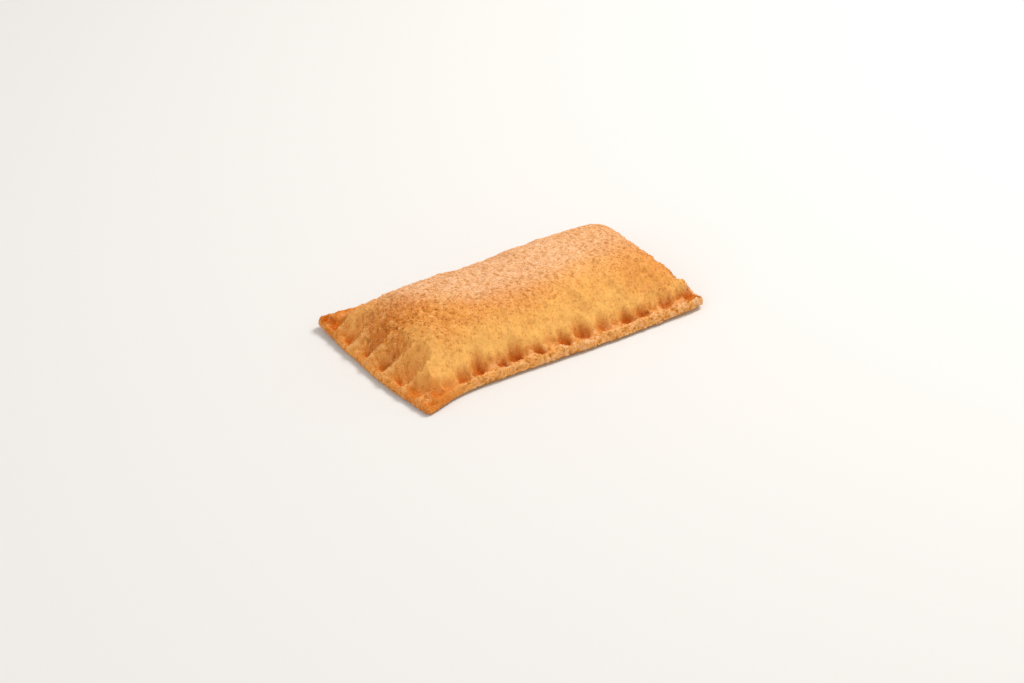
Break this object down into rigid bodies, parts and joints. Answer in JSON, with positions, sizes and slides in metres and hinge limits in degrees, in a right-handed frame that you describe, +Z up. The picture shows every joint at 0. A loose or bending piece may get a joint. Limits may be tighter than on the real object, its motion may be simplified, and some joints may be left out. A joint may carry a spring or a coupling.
{
  "type": "sweet potato hand pie",
  "caption": "Baked sweet potato hand pie, a filled rectangular turnover with toothed crimps on all edges and a dusting of cinnamon sugar.",
  "frame": {"origin": "under the middle of the pie's box, on the flat underside that it rests on", "axes": "+X along the long side towards the right end in the picture, +Y from the front edge to the back edge, +Z up"},
  "size_m": [0.1294, 0.074, 0.0217],
  "materials": {
    "baked_crust": "matte golden-brown baked dough, browner in the crimps, with a crust of fine cinnamon sugar"
  },
  "bodies": {
    "root": {"sweet_potato_pie": "baked_crust"}
  },
  "joints": []
}
